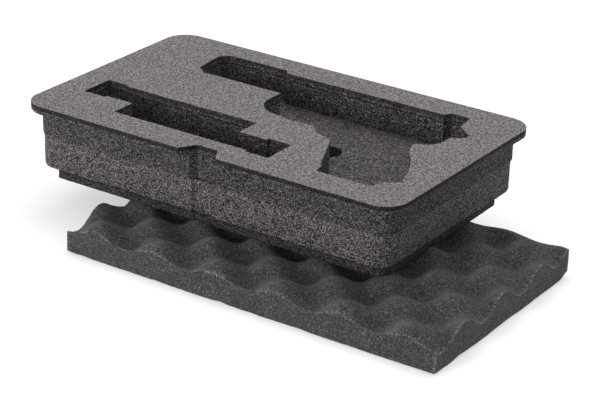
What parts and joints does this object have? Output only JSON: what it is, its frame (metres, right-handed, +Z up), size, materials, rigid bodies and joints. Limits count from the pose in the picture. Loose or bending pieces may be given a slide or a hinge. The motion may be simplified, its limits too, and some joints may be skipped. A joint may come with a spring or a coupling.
{
  "type": "foam insert set",
  "caption": "Laminated foam tray with cut pockets for a pistol and magazines, resting on a convoluted foam lid pad for a small hard case.",
  "frame": {"origin": "middle of the whole set, on the surface that the pad lies on", "axes": "+X along the long side, towards the pad's uncovered right end; +Y from the notched front edge to the back; +Z up"},
  "size_m": [0.3454, 0.216, 0.0757],
  "materials": {
    "skin_foam": "matte",
    "cell_foam": "matte",
    "pad_foam": "matte"
  },
  "bodies": {
    "pad": {"convoluted_pad": "pad_foam"},
    "tray": {"base_sheet": "cell_foam", "floor_plank": "cell_foam", "pocket_plank": "cell_foam", "lip_sheet": "cell_foam", "top_sheet": "skin_foam"}
  },
  "joints": [
    {"name": "tray_lift", "type": "slide", "parent": "pad", "child": "tray", "axis": [0, 0, 1], "range_m": [0, 0.1]}
  ]
}
